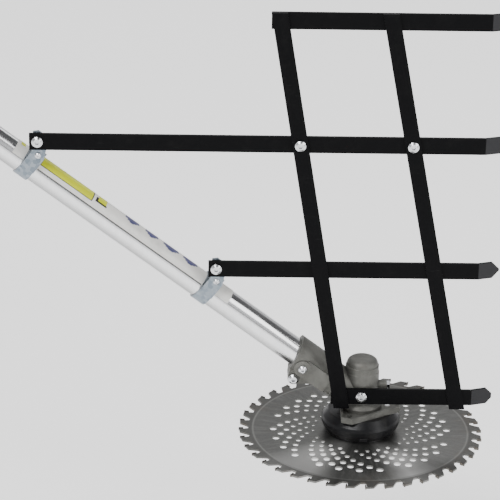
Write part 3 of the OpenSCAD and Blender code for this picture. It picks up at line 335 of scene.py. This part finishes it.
def foam_rubber():
    t = Tree("grip_rubber", (0.020, 0.020, 0.021), metallic=0.0, roughness=0.82)
    pores = t.node("TexVoronoi", {"Vector": t.place, "Scale": 900.0}).outputs["Distance"]
    t.set("Base Color", t.ramp(pores, (0.0, (0.008, 0.008, 0.009)), (0.6, (0.032, 0.032, 0.034))))
    t.bump(pores, 0.5, 0.0005)
    return t.material


def copper():
    t = Tree("copper", (0.60, 0.27, 0.12), metallic=0.9, roughness=0.30)
    turns = t.node("TexWave", {"Vector": t.mapped(turn=ALONG_SHAFT), "Scale": 420.0,
                               "Distortion": 0.6}, bands_direction="Z").outputs["Fac"]
    t.set("Base Color", t.ramp(turns, (0.2, (0.30, 0.12, 0.05)), (0.8, (0.75, 0.36, 0.16))))
    t.bump(turns, 0.5, 0.0004)
    return t.material


def laminations():
    t = Tree("lamination", (0.28, 0.285, 0.29), metallic=0.9, roughness=0.42)
    sheets = t.node("TexWave", {"Vector": t.mapped(turn=ALONG_SHAFT), "Scale": 320.0},
                    bands_direction="Z").outputs["Fac"]
    t.set("Base Color", t.ramp(sheets, (0.2, (0.16, 0.165, 0.17)), (0.8, (0.36, 0.365, 0.37))))
    t.bump(sheets, 0.3, 0.0003)
    return t.material


def circuit_board():
    t = Tree("board_green", (0.012, 0.115, 0.045), metallic=0.0, roughness=0.30, Coat_Weight=0.4)
    tracks = t.node("TexBrick", {"Vector": t.mapped(turn=ALONG_SHAFT), "Scale": 130.0,
                                 "Color1": (0.010, 0.100, 0.040, 1), "Color2": (0.018, 0.150, 0.060, 1),
                                 "Mortar": (0.30, 0.26, 0.10, 1), "Mortar Size": 0.012}).outputs["Color"]
    t.set("Base Color", tracks)
    return t.material


def printed_film(name="label", tint=(0.80, 0.79, 0.75), soil=0.5):
    t = Tree(name, tint, metallic=0.0, roughness=0.34, Coat_Weight=0.35, Coat_Roughness=0.2)
    dirt = t.noise(60, 6, 0.75)
    t.set("Base Color", t.mix(t.ramp(dirt, (0.50, 0.0), (0.78, soil)), tint, shaded(tint, 0.55)))
    t.set("Roughness", t.ramp(dirt, (0.3, 0.30), (0.75, 0.55)))
    return t.material


def seal_rubber():
    return plastic("seal_rubber", (0.055, 0.030, 0.016), 0.6, 700)


FINISHES = {
    "cast_alloy": cast_alloy,
    "zinc_fastener": bright_zinc,
    "gear_steel": gear_steel,
    "bearing_steel": lambda: bright_zinc("bearing_steel", (0.70, 0.71, 0.73), 0.12),
    "spring_steel": lambda: gear_steel("spring_steel", (0.10, 0.105, 0.11), 0.35),
    "seal_rubber": seal_rubber,
    "cup_black": black_gloss,
    "forged_steel": lambda: gear_steel("forged_steel", (0.17, 0.17, 0.175), 0.42),
    "blade_steel": blade_steel,
    "carbide": dark_tips,
    "tube_aluminium": polished_tube,
    "bush_plastic": lambda: plastic("bush_plastic", (0.62, 0.59, 0.50), 0.5, 900),
    "frame_black": frame_black,
    "strap_zinc": galvanised,
    "handle_black": lambda: frame_black("handle_black"),
    "grip_rubber": foam_rubber,
    "clamp_plastic": lambda: plastic("clamp_plastic", (0.018, 0.018, 0.019), 0.5, 1300),
    "housing_orange": lambda: two_shot("housing_orange"),
    "housing_grey": lambda: two_shot("housing_grey"),
    "alloy_plate": lambda: bright_zinc("alloy_plate", (0.60, 0.61, 0.62), 0.36),
    "lamination": laminations,
    "copper": copper,
    "board_green": circuit_board,
    "control_black": lambda: plastic("control_black", (0.014, 0.014, 0.015), 0.42, 1300),
    "control_red": lambda: plastic("control_red", (0.52, 0.020, 0.014), 0.34, 1300, 0.12, 0.2),
    "control_green": lambda: plastic("control_green", (0.035, 0.30, 0.040), 0.34, 1300, 0.12, 0.2),
    "battery_black": lambda: plastic("battery_black", (0.022, 0.022, 0.024), 0.48, 1400, 0.25),
    "contact_brass": lambda: brass("contact_brass", (0.78, 0.60, 0.26)),
    "label": printed_film,
}


# ---- scene ----
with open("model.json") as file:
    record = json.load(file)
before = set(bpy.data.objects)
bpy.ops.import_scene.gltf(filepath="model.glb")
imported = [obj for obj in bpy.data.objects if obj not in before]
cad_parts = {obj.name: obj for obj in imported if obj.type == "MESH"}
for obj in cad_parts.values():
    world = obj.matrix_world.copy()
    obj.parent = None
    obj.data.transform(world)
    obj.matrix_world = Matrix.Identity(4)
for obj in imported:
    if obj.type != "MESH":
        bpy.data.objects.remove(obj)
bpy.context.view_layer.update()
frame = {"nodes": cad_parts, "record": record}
made_finishes = {slot: make() for slot, make in FINISHES.items()}


def finish_nodes():
    """Gives each CAD node its slot's finish."""
    slots = {row["node"]: row["material_slot"] for row in frame["record"]["subparts"]}
    for name, thing in frame["nodes"].items():
        thing.data.materials.clear()
        thing.data.materials.append(made_finishes[slots[name]])


def bevel_edges(names, width, segments=2, edge_finish=None):
    """Rounds the edges a little, in a finish of their own where one is given."""
    for name in names:
        thing = frame["nodes"][name]
        if edge_finish:
            thing.data.materials.append(edge_finish)
        bevel = thing.modifiers.new("edge", "BEVEL")
        bevel.width = width
        bevel.segments = segments
        bevel.limit_method = "ANGLE"
        bevel.angle_limit = math.radians(35)
        if edge_finish:
            bevel.material = 1


finish_nodes()
# the bars' bevelled edges get worn paint that is also a painted edge highlight
bevel_edges(["top_rail", "second_rail", "third_rail", "bottom_rail", "rear_upright", "front_upright"],
            0.0005, edge_finish=worn_edge_and_sheen())
bevel_edges(["lower_clamp", "upper_clamp"], 0.0003)
bevel_edges(["handle_clamp_base", "handle_clamp_cap"], 0.0015, 3)


# ---- printing on the shaft labels ----
# radius of the printing, just clear of the label, and a second layer over it
LABEL_SKIN = 0.01422
OVER_PRINT = LABEL_SKIN + 0.00006
DASHES = ((0.226, 0.244), (0.250, 0.269), (0.276, 0.292), (0.300, 0.317))
# each step of a dash: how much shorter it is at each end, and its two angles
DASH_STEPS = {"wide": (0.0, -22, 12), "mid": (0.003, 12, 20), "tip": (0.006, 20, 26)}


def printed_patch(name, starts, ends, finish, skin=LABEL_SKIN):
    """A patch that follows the tube, between two distances and two angles; 0 is the upper side."""
    mesh = bmesh.new()
    (s0, a0), (s1, a1) = starts, ends
    steps = max(2, round(abs(a1 - a0) / 6))
    rows = []
    for i in range(steps + 1):
        a = math.radians(a0 + (a1 - a0) * i / steps)
        up, across = skin * math.cos(a), -skin * math.sin(a)
        rows.append([mesh.verts.new(on_shaft(s, up, across)) for s in (s0, s1)])
    for one, two in zip(rows, rows[1:]):
        mesh.faces.new((one[0], one[1], two[1], two[0]))
    data = bpy.data.meshes.new(name)
    mesh.normal_update()
    mesh.to_mesh(data)
    mesh.free()
    data.shade_smooth()
    data.materials.append(finish)
    piece = bpy.data.objects.new(name, data)
    bpy.context.scene.collection.objects.link(piece)
    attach(piece, "machine")


def print_labels():
    """A yellow warning strip with a thin black border, and plain blue dashes along the upper edge."""
    yellow = printed_film("print_yellow", (0.62, 0.66, 0.0), 0.15)
    black = printed_film("print_black", (0.02, 0.02, 0.02))
    blue = printed_film("print_blue", (0.060, 0.062, 0.17))
    printed_patch("label_edge", (0.214, 68), (0.419, 72), black)
    printed_patch("warning_border", (0.3555, -26), (0.4195, 49), black)
    printed_patch("warning_strip", (0.3565, -24), (0.4185, 46), yellow, OVER_PRINT)
    printed_patch("warning_mark", (0.340, -22), (0.350, 30), yellow)
    printed_patch("warning_mark_line", (0.339, 30), (0.351, 38), black)
    printed_patch("warning_mark_end", (0.350, 12), (0.3525, 38), black)
    printed_patch("upper_mark", (0.441, -10), (0.446, 18), yellow)
    for number, (start, end) in enumerate(DASHES, 1):
        for step, (shorter, low, high) in DASH_STEPS.items():
            printed_patch(f"blue_dash_{number}_{step}", (start + shorter, low), (end - shorter, high), blue)


print_labels()


# ---- floor, light and camera ----
def stage_floor():
    bpy.ops.mesh.primitive_plane_add(size=FLOOR_SIZE, location=(0, 0, FLOOR_Z))
    floor = bpy.context.object
    floor.name = "floor"
    t = Tree("floor", (0.95, 0.95, 0.945), roughness=0.8)
    t.shader.inputs["Emission Color"].default_value = (1, 1, 1, 1)
    t.shader.inputs["Emission Strength"].default_value = FLOOR_GLOW
    floor.data.materials.append(t.material)


def soft_light(name, at, towards, size, power):
    data = bpy.data.lights.new(name, "AREA")
    data.shape = "RECTANGLE"
    data.size = size[0]
    data.size_y = size[1]
    data.energy = power
    light = bpy.data.objects.new(name, data)
    light.location = at
    light.rotation_euler = (Vector(towards) - Vector(at)).to_track_quat("-Z", "Y").to_euler()
    bpy.context.scene.collection.objects.link(light)


def world_light(strength):
    """A room with a pale horizon, a thin dark line, a bright wall, a dim band and a bright ceiling."""
    world = bpy.data.worlds.new("studio")
    bpy.context.scene.world = world
    world.use_nodes = True
    nodes, links = world.node_tree.nodes, world.node_tree.links
    direction = nodes.new("ShaderNodeTexCoord").outputs["Generated"]
    split = nodes.new("ShaderNodeSeparateXYZ")
    links.new(direction, split.inputs["Vector"])
    ramp = nodes.new("ShaderNodeValToRGB")
    links.new(split.outputs["Z"], ramp.inputs["Fac"])
    elements = ramp.color_ramp.elements
    while len(elements) < len(ROOM):
        elements.new(0.5)
    for element, (height, grey) in zip(elements, ROOM):
        element.position = height
        element.color = (grey, grey, grey * 1.02, 1)
    background = nodes["Background"]
    links.new(ramp.outputs["Color"], background.inputs["Color"])
    background.inputs["Strength"].default_value = strength


def add_camera():
    data = bpy.data.cameras.new("camera")
    data.lens = LENS
    data.sensor_width = 36
    data.clip_start = 0.05
    data.clip_end = 60
    camera = bpy.data.objects.new("camera", data)
    back = Vector((math.sin(CAMERA_AZIMUTH) * math.cos(CAMERA_ELEVATION),
                   -math.cos(CAMERA_AZIMUTH) * math.cos(CAMERA_ELEVATION), math.sin(CAMERA_ELEVATION)))
    right = Vector((math.cos(CAMERA_AZIMUTH), math.sin(CAMERA_AZIMUTH), 0))
    up = back.cross(right)
    rolled_right = right * math.cos(CAMERA_ROLL) + up * math.sin(CAMERA_ROLL)
    rolled_up = up * math.cos(CAMERA_ROLL) - right * math.sin(CAMERA_ROLL)
    turn = Matrix((rolled_right, rolled_up, back)).transposed().to_4x4()
    camera.matrix_world = Matrix.Translation(CAMERA_AT) @ turn
    bpy.context.scene.collection.objects.link(camera)
    bpy.context.scene.camera = camera


stage_floor()
world_light(1.0)
soft_light("key", (-1.2, -1.6, 2.6), (0, 0, 0.15), (1.6, 1.2), 55)
soft_light("fill", (1.8, -1.2, 1.4), (0, 0, 0.15), (1.4, 1.4), 20)
soft_light("rim", (0.4, 2.2, 1.8), (-0.1, 0, 0.2), (2.0, 0.8), 8)
add_camera()
